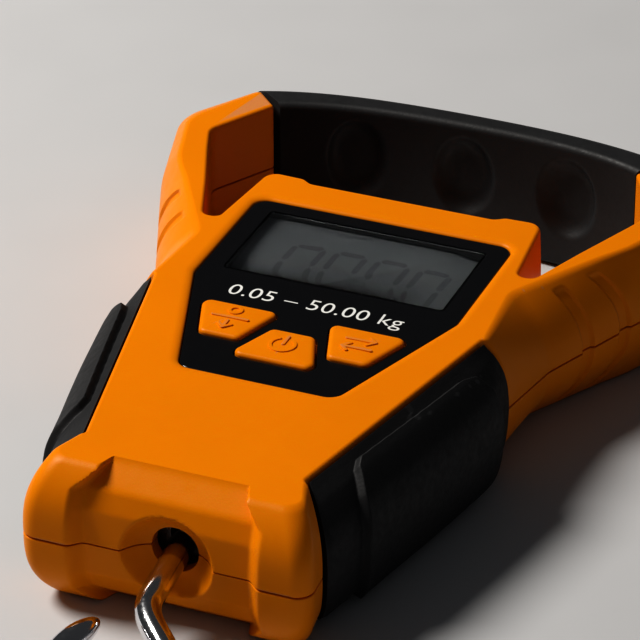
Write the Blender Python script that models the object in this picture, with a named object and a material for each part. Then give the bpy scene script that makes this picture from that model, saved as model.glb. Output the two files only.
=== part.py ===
"""A hand-held digital fish scale: a case with a display and three buttons, a D-shaped carrying
handle, and a steel hook that hangs from a load cell inside.

The scale lies on its back. +Z comes out of its front face, +Y runs from the hook to the handle, and
X = 0 is its plane of symmetry. The origin is on the flat back of the rear shell, behind the centre
of the display. Lengths below are in millimetres, and MM turns them into Blender's metres.
"""

import math

import bmesh
import bpy
from mathutils import Matrix, Vector

MM = 0.001

# The case, front to back
FRONT = 29.4            # front face
SEAM = 14.7             # height at which the shells part
SEAM_HALF_GAP = 0.15
GAP = 0.3               # between pieces that touch
SEAM_FRONT, SEAM_REAR = SEAM + SEAM_HALF_GAP, SEAM - SEAM_HALF_GAP
SHELL_LEVELS_FRONT = ((SEAM_FRONT, 0.0), (19.5, 0.0), (24.0, 0.0), (27.4, 0.0), (28.9, 0.15), (FRONT, 0.7))
SHELL_LEVELS_REAR = ((0.0, 0.7), (0.5, 0.15), (2.0, 0.0), (5.4, 0.0), (9.9, 0.0), (SEAM_REAR, 0.0))
CAVITY_FLOOR = 2.2
CAVITY_TOP = 26.4

# Right half of the case's outline, from the hook end round to the top of the neck:
# (x and y at the faces, x and y at the seam, corner radius, fullness of the side between them)
CASE_HALF = (
    (25.2, -87.0, 28.4, -93.0, 7.0, 3.0),   # hook block corner
    (21.9, -78.1, 27.9, -85.2, 0.9, 3.0),   # lower end of the grip recess, outside
    (21.5, -77.4, 21.8, -77.8, 0.9, 3.0),   # lower end of the grip recess, inside
    (33.7, -20.2, 33.9, -20.3, 0.9, 2.2),   # upper end of the grip recess, inside
    (34.2, -19.6, 38.8, -18.8, 0.9, 2.2),   # upper end of the grip recess, outside
    (32.6, -1.5, 41.5, -3.5, 6.0, 2.2),     # shoulder
    (44.0, 17.7, 52.4, 23.0, 25.0, 2.2),    # arm, outside
    (48.8, 24.8, 55.6, 31.0, 25.0, 2.2),
    (54.0, 42.0, 62.4, 55.2, 10.0, 2.2),    # outer corner
    (44.6, 58.6, 53.0, 68.0, 0.9, 2.2),     # end of the arm
    (39.5, 53.5, 39.5, 53.5, 0.9, 2.2),
    (47.6, 39.0, 47.6, 39.0, 4.0, 2.2),     # inner corner
    (45.0, 32.0, 45.0, 32.0, 20.0, 2.2),
    (39.5, 18.4, 39.5, 18.4, 20.0, 2.2),
    (34.6, 5.4, 34.4, 5.4, 2.2, 2.2),       # bottom of the gap beside the neck
    (31.4, 5.4, 31.8, 5.4, 1.6, 2.2),
    (29.2, 26.6, 29.6, 26.8, 3.0, 2.2),     # top of the neck
    (21.5, 26.3, 21.5, 26.3, 2.0, 2.2),
    (19.5, 24.9, 19.5, 24.9, 2.0, 2.2),
)
CAVITY_HALF = (
    (18.8, -84.0, 2.0),
    (18.8, -79.0, 2.0),
    (31.0, -21.0, 2.0),
    (30.4, -2.0, 3.0),
    (28.6, 6.0, 3.0),
    (26.6, 22.4, 3.0),
)

# Hook end
HOOK_AXIS_Z = SEAM
BOWL_RADIUS, BOWL_MOUTH_Y = 9.2, -91.3
HOOK_HOLE_RADIUS = 4.6
END_RECESS_HALF_WIDTH = 16.5
END_RECESS_SECTION = (  # (y, z) from the front face, past the seam, to the back
    (-83.0, 30.4), (-83.4, 29.1), (-88.3, 25.3), (-90.0, 21.4), (-90.8, 14.7), (-90.0, 8.0), (-88.3, 4.1),
    (-83.4, 0.3), (-83.0, -1.0), (-98.0, -1.0), (-98.0, 30.4),
)

# Front face: panel, display and buttons
PANEL_HALF = ((27.0, 15.8, 3.0), (26.9, -16.0, 4.0), (15.6, -49.4, 3.0))
PANEL_BOTTOM, PANEL_TOP = 27.9, 28.8
PANEL_BEVEL = 1.5       # slope from the front face down to the panel
WINDOW_HALF_X, WINDOW_HALF_Y = 22.8, 12.2
GASKET_HALF_X, GASKET_HALF_Y = 24.0, 13.4
BUTTON_SIDE = ((21.3, -25.2, 1.8), (17.1, -36.95, 1.8), (8.9, -36.95, 1.5), (5.0, -25.2, 1.5))
BUTTON_MIDDLE = ((4.4, -31.0, 1.6), (8.65, -42.1, 1.6))
BUTTON_TOP, BUTTON_BOTTOM = 29.75, 24.9
BUTTON_CLEARANCE = 0.35
BUTTON_FLANGE = 1.0
DOME_RADIUS, DOME_TOP = 3.2, 24.6
KEYPAD_HALF = ((23.0, -20.5, 1.5), (13.0, -45.6, 2.0))
DOME_PLACES = ((-13.1, -30.6), (0.0, -36.4), (13.1, -30.6))

# Electronics
LCD_HALF_X, LCD_LOW_Y, LCD_HIGH_Y = 24.0, -14.0, 16.6
LCD_BOTTOM, LCD_TOP = 24.0, 26.0
BOARD_HALF = ((24.0, 16.6, 1.5), (24.0, -17.0, 1.5), (13.4, -47.4, 2.0))
BOARD_BOTTOM, BOARD_TOP = 20.4, 21.4

# Load path: frame, load cell, handle core and hook
LEG_PATH = ((33.6, -5.5), (38.4, 4.0), (43.4, 16.6), (49.2, 30.4), (52.9, 40.5), (53.6, 46.5))
LEG_HALF_WIDTH = 1.8
CORE_SCREW = (53.6, 46.0)
ARM_END_PATH = ((50.4, 53.3), (45.2, 59.5))
FRAME_BOTTOM, FRAME_TOP = 8.4, 10.6
CELL_BOTTOM, CELL_TOP = 10.9, 18.9
CELL_HALF_WIDTH, CELL_LOW_Y, CELL_HIGH_Y = 6.5, -81.5, -7.5
CELL_SCREWS_Y = (-16.3, -11.0)
CHANNEL_BOTTOM, CHANNEL_TOP = 8.1, 21.3
CORE_HALF_WIDTH = 3.2

HOOK_PIVOT_Y = -78.5
HOOK_TILT = 11.0        # degrees that the hook droops, lying on a table
ROD_RADIUS, NECK_RADIUS = 2.45, 1.9
BEND_START, BEND_CENTRE, BEND_RADIUS, BEND_ANGLE = 18.0, 37.0, 10.0, 205.0

# Handle
HANDLE_SIDE_STEPS = 14
HANDLE_LEVELS = (       # height, how far the edge is rounded in
    (0.4, 1.4), (0.8, 0.6), (1.8, 0.15), (5.2, 0.0), (9.8, 0.0), (14.7, 0.0), (19.6, 0.0), (24.2, 0.0),
    (27.6, 0.15), (28.6, 0.6), (29.0, 1.4),
)
FINGER_PITCH = 23.0
FINGER_DIMPLE, DIMPLE_Z = (6.5, 2.4, 9.25), 16.9

# Side grips
GRIP_LOW, GRIP_HIGH = Vector((21.5, -77.4)), Vector((33.7, -20.2))
GRIP_STATIONS = (       # share of the length, width, how much of the pad stands there
    (0.0, 9.9, 0.0), (0.06, 9.7, 0.0), (0.14, 9.2, 0.0), (0.19, 8.7, 1.0), (0.30, 8.2, 1.0), (0.42, 8.1, 1.0),
    (0.55, 8.0, 1.0), (0.68, 7.8, 1.0), (0.80, 7.7, 1.0), (0.86, 7.4, 0.0), (0.92, 6.7, 0.0), (1.0, 5.1, 0.0),
)
GRIP_SECTION = (        # share of the width, height, how far the pad stands out and up from there
    (0.0, 28.7, 0.0, 0.0), (0.17, 27.7, 0.0, 0.0), (0.23, 27.4, 0.3, 1.4), (0.42, 26.3, 0.7, 1.4),
    (0.60, 24.8, 0.9, 1.3), (0.78, 23.0, 1.2, 1.0), (0.93, 20.0, 1.5, 0.5), (1.0, 14.7, 1.6, 0.0),
    (0.94, 9.8, 1.4, -0.4), (0.84, 6.4, 1.1, -0.8), (0.74, 4.4, 0.0, 0.0), (0.50, 2.3, 0.0, 0.0),
    (0.0, 0.7, 0.0, 0.0),
)

# Battery bay
CELL_LENGTH, CELL_RADIUS, BATTERY_X, BATTERY_Z = 43.3, 5.1, 14.1, 7.6
BAY_HALF_WIDTH, BAY_LOW_Y, BAY_HIGH_Y = 5.5, -70.4, -21.2
BAY_TOP = 13.1
BAY_BLOCK = ((-19.8, -72.4), (19.8, -72.4), (21.2, -66.0), (21.2, -19.9), (-21.2, -19.9), (-21.2, -66.0))
SPRING_SPACE = 4.4
DOOR_HALF_WIDTH, DOOR_LOW_Y, DOOR_HIGH_Y = 20.6, -70.7, -20.7
DOOR_BOTTOM, DOOR_TOP = 0.2, 1.7

SHELL_SCREWS = ((-15.5, -78.6), (15.5, -78.6), (-27.6, 0.0), (27.6, 0.0), (-22.8, 19.7), (22.8, 19.7))


# Outlines and meshes

def clear_scene():
    for item in list(bpy.data.objects):
        bpy.data.objects.remove(item, do_unlink=True)


def material(name, colour, roughness, metallic=0.0):
    made = bpy.data.materials.new(name)
    made.use_nodes = True
    shader = made.node_tree.nodes["Principled BSDF"]
    shader.inputs["Base Color"].default_value = (*colour, 1.0)
    shader.inputs["Roughness"].default_value = roughness
    shader.inputs["Metallic"].default_value = metallic
    return made


def mirrored(half):
    """Both halves of an outline, given the corners of its right half in order."""
    return [tuple(corner) for corner in half] + [(-corner[0], *corner[1:]) for corner in reversed(half)]


def rounded(corners):
    """The outline through corners (x, y, radius), each turned on an arc of its radius."""
    outline = []
    for index, (x, y, radius) in enumerate(corners):
        corner = Vector((x, y))
        back = Vector(corners[index - 1][:2]) - corner
        ahead = Vector(corners[(index + 1) % len(corners)][:2]) - corner
        half_angle = back.angle(ahead) / 2
        run = min(radius / math.tan(half_angle), 0.45 * back.length, 0.45 * ahead.length)
        centre = corner + (back.normalized() + ahead.normalized()).normalized() * (run / math.cos(half_angle))
        spoke = corner + back.normalized() * run - centre
        turn = math.copysign(math.pi - 2 * half_angle, ahead.cross(back))
        steps = 2 if radius < 2 else 4
        for step in range(steps + 1):
            outline.append(centre + Matrix.Rotation(turn * step / steps, 2) @ spoke)
    return outline


def inset(outline, distance):
    """The outline, counter-clockwise, moved inwards by the distance. A negative distance grows it."""
    moved = []
    for index, point in enumerate(outline):
        back = (point - outline[index - 1]).normalized()
        ahead = (outline[(index + 1) % len(outline)] - point).normalized()
        inward = Vector((-back.y - ahead.y, back.x + ahead.x)).normalized()
        reach = distance / max(0.5, inward.dot(Vector((-back.y, back.x))))
        moved.append(point + inward * reach)
    return moved


def counter_clockwise(outline):
    area = sum(outline[i - 1].cross(outline[i]) for i in range(len(outline)))
    return outline if area > 0 else outline[::-1]


def at_height(outline, z):
    return [Vector((point.x, point.y, z)) for point in outline]


def band(path, half_widths):
    """The outline of a strip that follows the path, with a half width at each of its points."""
    left, right = [], []
    for index, (point, half_width) in enumerate(zip(path, half_widths)):
        along = Vector(path[min(index + 1, len(path) - 1)]) - Vector(path[max(index - 1, 0)])
        across = Vector((-along.y, along.x)).normalized() * half_width
        left.append(Vector(point) + across)
        right.append(Vector(point) - across)
    return right + left[::-1]


def add_object(name, mesh, look, parent=None):
    made = bpy.data.objects.new(name, mesh)
    made.parent = parent
    mesh.materials.append(look)
    bpy.context.scene.collection.objects.link(made)
    return made


def loft(name, rings, look, parent=None):
    """A closed solid through rings of equal numbers of points, with flat ends."""
    shape = bmesh.new()
    loops = [[shape.verts.new(point * MM) for point in ring] for ring in rings]
    for low, high in zip(loops, loops[1:]):
        for index in range(len(low)):
            shape.faces.new((low[index - 1], low[index], high[index], high[index - 1]))
    shape.faces.new(loops[0][::-1])
    shape.faces.new(loops[-1])
    bmesh.ops.recalc_face_normals(shape, faces=shape.faces)
    mesh = bpy.data.meshes.new(name)
    shape.to_mesh(mesh)
    shape.free()
    mesh.shade_smooth()
    mesh.set_sharp_from_angle(angle=math.radians(32))
    return add_object(name, mesh, look, parent)


def slab(name, outline, low, high, look):
    return loft(name, [at_height(outline, low), at_height(outline, high)], look)


def block(name, low, high, look):
    corners = ((low[0], low[1]), (high[0], low[1]), (high[0], high[1]), (low[0], high[1]))
    return slab(name, [Vector(corner) for corner in corners], low[2], high[2], look)


def turned(name, profile, start, axis, look, sides=20, parent=None):
    """A solid of revolution: profile holds (distance along the axis, radius)."""
    axis = Vector(axis).normalized()
    across = axis.orthogonal().normalized()
    beside = axis.cross(across)
    turns = [2 * math.pi * index / sides for index in range(sides)]
    circle = [across * math.cos(turn) + beside * math.sin(turn) for turn in turns]
    start = Vector(start)
    rings = [[start + axis * distance + spoke * radius for spoke in circle] for distance, radius in profile]
    return loft(name, rings, look, parent)


def combine(target, tool, operation):
    """Cuts the tool from the target, or joins it on, and hides the tool."""
    change = target.modifiers.new(tool.name, "BOOLEAN")
    change.operation = operation
    change.object = tool
    change.solver = "EXACT"
    tool.hide_render = True
    tool.display_type = "WIRE"


def cut(target, tool):
    combine(target, tool, "DIFFERENCE")


def join(target, tool):
    combine(target, tool, "UNION")


# Case

def case_outline(z):
    """The case's outline at height z: widest at the seam, narrowest at both faces."""
    away = (z - SEAM) / (FRONT - SEAM) if z > SEAM else (SEAM - z) / SEAM
    corners = []
    for face_x, face_y, seam_x, seam_y, radius, fullness in CASE_HALF:
        share = 1 - away ** fullness
        corners.append((face_x + (seam_x - face_x) * share, face_y + (seam_y - face_y) * share, radius))
    return rounded(mirrored(corners))


def shell_blank(name, levels, look):
    return loft(name, [at_height(inset(case_outline(z), edge), z) for z, edge in levels], look)


def arm_channel(side, guide):
    """The hollow that takes the frame's leg and the core through one arm, to past the arm's end."""
    path = ((27.0, -12.5), *LEG_PATH, *ARM_END_PATH, (43.0, 62.0))
    widths = (4.0, 2.6, 2.2, 2.4, 2.6, 3.2, 3.9, 3.9, 3.9, 3.9)
    outline = band([(side * x, y) for x, y in path], widths)
    return slab("arm_channel", counter_clockwise(outline), CHANNEL_BOTTOM, CHANNEL_TOP, guide)


def hook_end_cutters(guide):
    """The sunken middle of the hook end, and the bowl with the hole that the hook comes out of."""
    ends = (-END_RECESS_HALF_WIDTH, END_RECESS_HALF_WIDTH)
    recess = loft("end_recess", [[Vector((x, y, z)) for y, z in END_RECESS_SECTION] for x in ends], guide)
    profile = ((-2.4, BOWL_RADIUS + 1.2), (0.0, BOWL_RADIUS), (2.2, 7.4))
    profile += ((5.2, HOOK_HOLE_RADIUS), (11.0, HOOK_HOLE_RADIUS))
    bowl = turned("end_bowl", profile, (0, BOWL_MOUTH_Y, HOOK_AXIS_Z), (0, 1, 0), guide, sides=32)
    return recess, bowl


def make_front_shell(orange, guide):
    shell = shell_blank("front_shell", SHELL_LEVELS_FRONT, orange)
    cut(shell, slab("front_cavity", rounded(mirrored(CAVITY_HALF)), SEAM - 1, CAVITY_TOP, guide))
    for side in (-1, 1):
        cut(shell, arm_channel(side, guide))
    for x, y in SHELL_SCREWS:
        join(shell, turned("front_boss", ((0, 2.8), (12.2, 2.8)), (x, y, SEAM_FRONT), (0, 0, 1), orange, 16))
        cut(shell, turned("front_hole", ((0, 1.5), (9.0, 1.5)), (x, y, SEAM - 1), (0, 0, 1), guide, 12))
    panel = counter_clockwise(rounded(mirrored(PANEL_HALF)))
    rings = ((PANEL_BOTTOM - GAP, -GAP), (PANEL_TOP, -GAP), (FRONT + 0.1, -PANEL_BEVEL))
    cut(shell, loft("panel_recess", [at_height(inset(panel, edge), z) for z, edge in rings], guide))
    x, y = GASKET_HALF_X + GAP, GASKET_HALF_Y + GAP
    window = rounded(((-x, -y, 1.0), (x, -y, 1.0), (x, y, 1.0), (-x, y, 1.0)))
    cut(shell, slab("window_hole", window, CAVITY_TOP - 1, PANEL_BOTTOM, guide))
    for outline in button_outlines().values():
        hole = inset(outline, -BUTTON_CLEARANCE)
        cut(shell, slab("shell_button_hole", hole, CAVITY_TOP - 1, PANEL_BOTTOM, guide))
    for cutter in hook_end_cutters(guide):
        cut(shell, cutter)
    return shell


def make_rear_shell(orange, guide):
    shell = shell_blank("rear_shell", SHELL_LEVELS_REAR, orange)
    cut(shell, slab("rear_cavity", rounded(mirrored(CAVITY_HALF)), CAVITY_FLOOR, SEAM + 1, guide))
    for side in (-1, 1):
        cut(shell, arm_channel(side, guide))
    join(shell, slab("bay_block", [Vector(corner) for corner in BAY_BLOCK], 1.0, BAY_TOP + 1, orange))
    cut(shell, block("cell_channel", (-7.4, -73.0, 7.0), (7.4, -19.0, BAY_TOP + 2), guide))
    for side in (-1, 1):
        x = side * BATTERY_X
        low, high = (x - BAY_HALF_WIDTH, BAY_LOW_Y, -1), (x + BAY_HALF_WIDTH, BAY_HIGH_Y, BAY_TOP)
        cut(shell, block("battery_bay", low, high, guide))
    cut(shell, slab("door_recess", inset(door_outline(), -GAP), -1, DOOR_TOP + GAP, guide))
    for x, y in SHELL_SCREWS:
        join(shell, turned("rear_boss", ((1.5, 3.4), (SEAM_REAR, 2.8)), (x, y, 0), (0, 0, 1), orange, 16))
        profile = ((-0.5, 2.9), (2.7, 2.9), (2.71, 1.5), (16.5, 1.5))
        cut(shell, turned("rear_hole", profile, (x, y, 0), (0, 0, 1), guide, 16))
    for cutter in hook_end_cutters(guide):
        cut(shell, cutter)
    return shell


def make_shell_screws(steel):
    for index, (x, y) in enumerate(SHELL_SCREWS, start=1):
        profile = ((0, 2.2), (0.3, 2.5), (1.7, 2.5), (1.9, 1.2), (20.0, 1.2), (21.0, 0.5))
        turned(f"shell_screw_{index}", profile, (x, y, 0.5), (0, 0, 1), steel, 12)


# Front face

def button_outlines():
    side = counter_clockwise(rounded(BUTTON_SIDE))
    other = counter_clockwise([Vector((-point.x, point.y)) for point in side])
    middle = counter_clockwise(rounded(mirrored(BUTTON_MIDDLE)))
    return {"tare_button": other, "power_button": middle, "unit_button": side}


def make_face(black, clear, guide):
    outline = counter_clockwise(rounded(mirrored(PANEL_HALF)))
    panel = slab("face_panel", outline, PANEL_BOTTOM, PANEL_TOP, black)
    x, y = WINDOW_HALF_X, WINDOW_HALF_Y
    window = rounded(((-x, -y, 0.8), (x, -y, 0.8), (x, y, 0.8), (-x, y, 0.8)))
    cut(panel, slab("panel_window_hole", window, PANEL_BOTTOM - 1, PANEL_TOP + 1, guide))
    for outline in button_outlines().values():
        hole = inset(outline, -BUTTON_CLEARANCE)
        cut(panel, slab("panel_button_hole", hole, PANEL_BOTTOM - 1, PANEL_TOP + 1, guide))
    slab("display_window", inset(window, GAP), PANEL_BOTTOM, PANEL_TOP - 0.05, clear)


def make_buttons(orange):
    flange_top = CAVITY_TOP - GAP
    levels = (
        (BUTTON_BOTTOM, -BUTTON_FLANGE), (flange_top, -BUTTON_FLANGE), (flange_top + 0.01, 0.0),
        (BUTTON_TOP - 0.7, 0.0), (BUTTON_TOP - 0.2, 0.25), (BUTTON_TOP, 0.9),
    )
    for name, outline in button_outlines().items():
        loft(name, [at_height(inset(outline, edge), z) for z, edge in levels], orange)


def make_keypad(silicone):
    low = BOARD_TOP + GAP
    sheet = slab("keypad_sheet", counter_clockwise(rounded(mirrored(KEYPAD_HALF))), low, low + 1.0, silicone)
    profile = ((low + 0.5, DOME_RADIUS + 0.8), (low + 1.2, DOME_RADIUS + 0.6), (DOME_TOP, DOME_RADIUS - 0.6))
    for x, y in DOME_PLACES:
        join(sheet, turned("dome", profile, (x, y, 0), (0, 0, 1), silicone, 16))


# Electronics

def make_display(black, grey, pale, rubber, guide):
    x, y = GASKET_HALF_X, GASKET_HALF_Y
    gasket = block("display_gasket", (-x, -y, LCD_TOP + GAP), (x, y, PANEL_BOTTOM - GAP), black)
    x, y = WINDOW_HALF_X + 0.1, WINDOW_HALF_Y + 0.1
    cut(gasket, block("gasket_hole", (-x, -y, LCD_TOP - 1), (x, y, PANEL_BOTTOM + 1), guide))
    block("lcd_glass", (-LCD_HALF_X, LCD_LOW_Y, LCD_BOTTOM), (LCD_HALF_X, LCD_HIGH_Y, LCD_TOP), grey)
    low, high = BOARD_TOP + GAP, LCD_BOTTOM - GAP
    block("lcd_backlight", (-23.2, -13.4, low), (23.2, 13.2, high), pale)
    block("zebra_strip", (-21.0, 14.0, low), (21.0, 15.8, high), rubber)


def make_board(green, black):
    slab("circuit_board", counter_clockwise(rounded(mirrored(BOARD_HALF))), BOARD_BOTTOM, BOARD_TOP, green)
    blob = rounded(((10.0, -12.0, 3.0), (20.0, -12.0, 3.0), (20.0, -2.0, 3.0), (10.0, -2.0, 3.0)))
    rings = [at_height(blob, BOARD_BOTTOM - GAP), at_height(inset(blob, 1.0), BOARD_BOTTOM - 1.8)]
    loft("controller_chip", rings, black)


# Load path

def make_frame(steel, guide):
    right = ((24.0, -13.6), *LEG_PATH)
    widths = (5.0,) + (LEG_HALF_WIDTH,) * (len(right) - 2) + (3.1,)
    path = [(-x, y) for x, y in reversed(right)] + list(right)
    frame = slab("carrying_frame", band(path, widths[::-1] + widths), FRAME_BOTTOM, FRAME_TOP, steel)
    holes = [(-CORE_SCREW[0], CORE_SCREW[1]), CORE_SCREW] + [(0.0, y) for y in CELL_SCREWS_Y]
    for x, y in holes:
        hole = turned("frame_hole", ((0, 1.7), (4.0, 1.7)), (x, y, FRAME_BOTTOM - 1), (0, 0, 1), guide, 16)
        cut(frame, hole)


def make_load_cell(aluminium, white, steel, guide):
    low, high = (-CELL_HALF_WIDTH, CELL_LOW_Y, CELL_BOTTOM), (CELL_HALF_WIDTH, CELL_HIGH_Y, CELL_TOP)
    cell = block("load_cell", low, high, aluminium)
    below, above = CELL_BOTTOM - 1, CELL_TOP + 1
    cut(cell, block("nut_window", (-4.7, HOOK_PIVOT_Y, below), (4.7, -68.5, above), guide))
    cut(cell, block("gauge_window", (-3.3, -54.0, below), (3.3, -37.0, above), guide))
    cut(cell, block("low_slit", (-3.3, -60.2, below), (CELL_HALF_WIDTH + 1, -58.8, above), guide))
    cut(cell, block("high_slit", (-CELL_HALF_WIDTH - 1, -32.0, below), (3.3, -30.6, above), guide))
    start = (0, CELL_LOW_Y - 1, HOOK_AXIS_Z)
    cut(cell, turned("shank_hole", ((0, 3.2), (6.0, 3.0)), start, (0, 1, 0), guide, 20))
    for y in CELL_SCREWS_Y:
        cut(cell, turned("cell_screw_hole", ((0, 1.7), (6.5, 1.7)), (0, y, below), (0, 0, 1), guide, 16))
    block("gauge_potting", (-2.9, -53.0, CELL_BOTTOM + 1), (2.9, -38.0, CELL_TOP - 1), white)
    for index, y in enumerate(CELL_SCREWS_Y, start=1):
        profile = ((0, 2.2), (0.3, 2.5), (1.75, 2.5), (1.76, 1.4), (8.5, 1.4))
        turned(f"cell_screw_{index}", profile, (0, y, FRAME_BOTTOM - GAP - 1.75), (0, 0, 1), steel, 14)


def handle_inner_y(x):
    """The inner edge of the handle, flattest in the middle."""
    share = x / 39.0
    return 60.9 - 2.6 * share ** 2 - 3.1 * share ** 4


def handle_outline(z):
    away = abs(z - SEAM) / (FRONT - SEAM)
    bulge = 1 - away ** 2.2
    shares = [2 * step / HANDLE_SIDE_STEPS - 1 for step in range(HANDLE_SIDE_STEPS + 1)]
    inner = [Vector((38.9 * share, handle_inner_y(38.9 * share))) for share in shares]
    outer = []
    for share in reversed(shares):
        face = Vector((44.1 * share, 65.5 - 3.1 * share ** 2 - 3.2 * share ** 4))
        seam = Vector((52.6 * share, 75.0 - 3.0 * share ** 2 - 3.6 * share ** 4))
        outer.append(face.lerp(seam, bulge))
    return inner + outer


def handle_core_path():
    shares = (0.0, 0.22, 0.44, 0.64, 0.82)
    arc = [(46.0 * share, 69.2 - 3.4 * share ** 2 - 6.2 * share ** 4) for share in shares]
    right = [*arc, ARM_END_PATH[1], ARM_END_PATH[0], CORE_SCREW]
    return [(-x, y) for x, y in reversed(right[1:])] + right


def make_handle(rubber, dark, steel, guide):
    rings = [at_height(inset(handle_outline(z), edge), z) for z, edge in HANDLE_LEVELS]
    grip = loft("handle_grip", rings, rubber)
    path = handle_core_path()
    tunnel = counter_clockwise(band(path, [CORE_HALF_WIDTH + GAP] * len(path)))
    cut(grip, slab("core_tunnel", tunnel, CELL_BOTTOM - GAP, CELL_TOP + GAP, guide))
    for index in (-1, 0, 1):
        bpy.ops.mesh.primitive_uv_sphere_add(segments=20, ring_count=10, radius=MM)
        dimple = bpy.context.object
        dimple.name = "finger_dimple"
        x = index * FINGER_PITCH
        dimple.data.transform(Matrix.Diagonal((*FINGER_DIMPLE, 1.0)))
        dimple.data.transform(Matrix.Translation(Vector((x, handle_inner_y(x) - 0.1, DIMPLE_Z)) * MM))
        cut(grip, dimple)
    core_outline = counter_clockwise(band(path, [CORE_HALF_WIDTH] * len(path)))
    core = slab("handle_core", core_outline, CELL_BOTTOM, CELL_TOP, dark)
    head = CELL_TOP + GAP
    profile = ((FRAME_BOTTOM + 0.1, 1.4), (head, 1.4), (head + 0.01, 2.5), (head + 1.4, 2.5), (head + 1.7, 2.2))
    for side, name in ((-1, "left"), (1, "right")):
        x, y = side * CORE_SCREW[0], CORE_SCREW[1]
        cut(core, turned("core_hole", ((0, 1.7), (10.0, 1.7)), (x, y, CELL_BOTTOM - 1), (0, 0, 1), guide, 16))
        turned(f"core_screw_{name}", profile, (x, y, 0), (0, 0, 1), steel, 14)


# Hook, on a tilting washer that seats on the load cell's end wall

def hook_path():
    """Points (sideways, along) of the hook's middle line from its threaded end, with a radius each."""
    points = [(0, along, NECK_RADIUS) for along in (-8.6, 0, 1.8)]
    points += [(0, along, ROD_RADIUS) for along in (2.3, 12, BEND_START)]
    for step in range(1, 12):
        share = step / 12
        ease = share ** 3 * (10 - 15 * share + 6 * share ** 2)
        points.append((BEND_RADIUS * ease, BEND_START + (BEND_CENTRE - BEND_START) * share, ROD_RADIUS))
    for step in range(15):
        turn = math.radians(BEND_ANGLE) * step / 14
        points.append((BEND_RADIUS * math.cos(turn), BEND_CENTRE + BEND_RADIUS * math.sin(turn), ROD_RADIUS))
    end_x, end_along, _ = points[-1]
    for run, radius in ((1.8, 2.3), (3.6, 1.7), (5.4, 0.7)):
        points.append((end_x - 0.16 * run, end_along - run, radius))
    return points


def make_hook(chrome, steel, brass, guide, sides=14):
    pivot = bpy.data.objects.new("hook_pivot", None)
    bpy.context.scene.collection.objects.link(pivot)
    pivot.location = Vector((0, HOOK_PIVOT_Y, HOOK_AXIS_Z)) * MM
    pivot.rotation_euler.x = math.radians(HOOK_TILT)
    points = hook_path()
    rings = []
    for index, (across, along, radius) in enumerate(points):
        before, after = points[max(index - 1, 0)], points[min(index + 1, len(points) - 1)]
        heading = Vector((after[0] - before[0], before[1] - after[1], 0)).normalized()
        beside = Vector((heading.y, -heading.x, 0))
        turns = [2 * math.pi * step / sides for step in range(sides)]
        middle = Vector((across, -along, 0))
        spokes = [beside * math.cos(turn) + Vector((0, 0, 1)) * math.sin(turn) for turn in turns]
        rings.append([middle + spoke * radius for spoke in spokes])
    loft("hook", rings, chrome, pivot)
    centre, along = (0, 0, 0), (0, 1, 0)
    washer = turned("swivel_washer", ((0.35, 2.4), (1.45, 4.1), (2.4, 4.1)), centre, along, brass, 20, pivot)
    bore = NECK_RADIUS + 0.1
    cut(washer, turned("washer_bore", ((-0.5, bore), (3.0, bore)), centre, along, guide, 20, pivot))
    nut = turned("hook_nut", ((2.7, 3.7), (3.0, 4.0), (6.3, 4.0), (6.6, 3.7)), centre, along, steel, 6, pivot)
    bore = NECK_RADIUS + GAP
    cut(nut, turned("nut_bore", ((1.0, bore), (9.0, bore)), centre, along, guide, 20, pivot))


# Side grips

def grip_rings(side):
    along = GRIP_HIGH - GRIP_LOW
    outward = Vector((-along.y, along.x)).normalized() * -1
    rings = []
    for station, width, pad in GRIP_STATIONS:
        inner = GRIP_LOW + along * (0.007 + 0.986 * station) + outward * 0.5
        heading = math.radians(-48.0 + 63.0 * station)
        ring = []
        for share, height, out, up in GRIP_SECTION:
            reach = share * width + out * pad
            x = inner.x + math.cos(heading) * reach
            y = inner.y + math.sin(heading) * reach
            ring.append(Vector((side * x, y, height + up * pad)))
        rings.append(ring)
    return rings


def make_side_grips(rubber):
    loft("left_side_grip", grip_rings(-1), rubber)
    loft("right_side_grip", grip_rings(1), rubber)


# Batteries

def door_outline():
    x, low, high = DOOR_HALF_WIDTH, DOOR_LOW_Y, DOOR_HIGH_Y
    corners = [(-x, low), (x, low), (x, high), (-x, high)]
    return counter_clockwise(rounded([(x, y, 1.0) for x, y in corners]))


def make_batteries(sleeve, orange, steel):
    slab("battery_door", door_outline(), DOOR_BOTTOM, DOOR_TOP, orange)
    for number, side in ((1, -1), (2, 1)):
        x = side * BATTERY_X
        # The two cells lie head to tail.
        start = BAY_LOW_Y + SPRING_SPACE if side < 0 else BAY_HIGH_Y - SPRING_SPACE
        heading = -side
        profile = (
            (0, 4.6), (0.3, CELL_RADIUS), (CELL_LENGTH - 0.6, CELL_RADIUS), (CELL_LENGTH - 0.3, 4.6),
            (CELL_LENGTH - 0.29, 1.8), (CELL_LENGTH + 0.5, 1.8),
        )
        turned(f"battery_{number}", profile, (x, start, BATTERY_Z), (0, heading, 0), sleeve, 20)
        end = start + heading * (CELL_LENGTH + 0.5 + GAP)
        plate = sorted((end, end + heading * 0.4))
        low, high = (x - 4, plate[0], BATTERY_Z - 4), (x + 4, plate[1], BATTERY_Z + 4)
        block(f"battery_contact_{number}", low, high, steel)
        make_spring(f"battery_spring_{number}", x, start - heading * GAP, -heading, steel)


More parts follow.
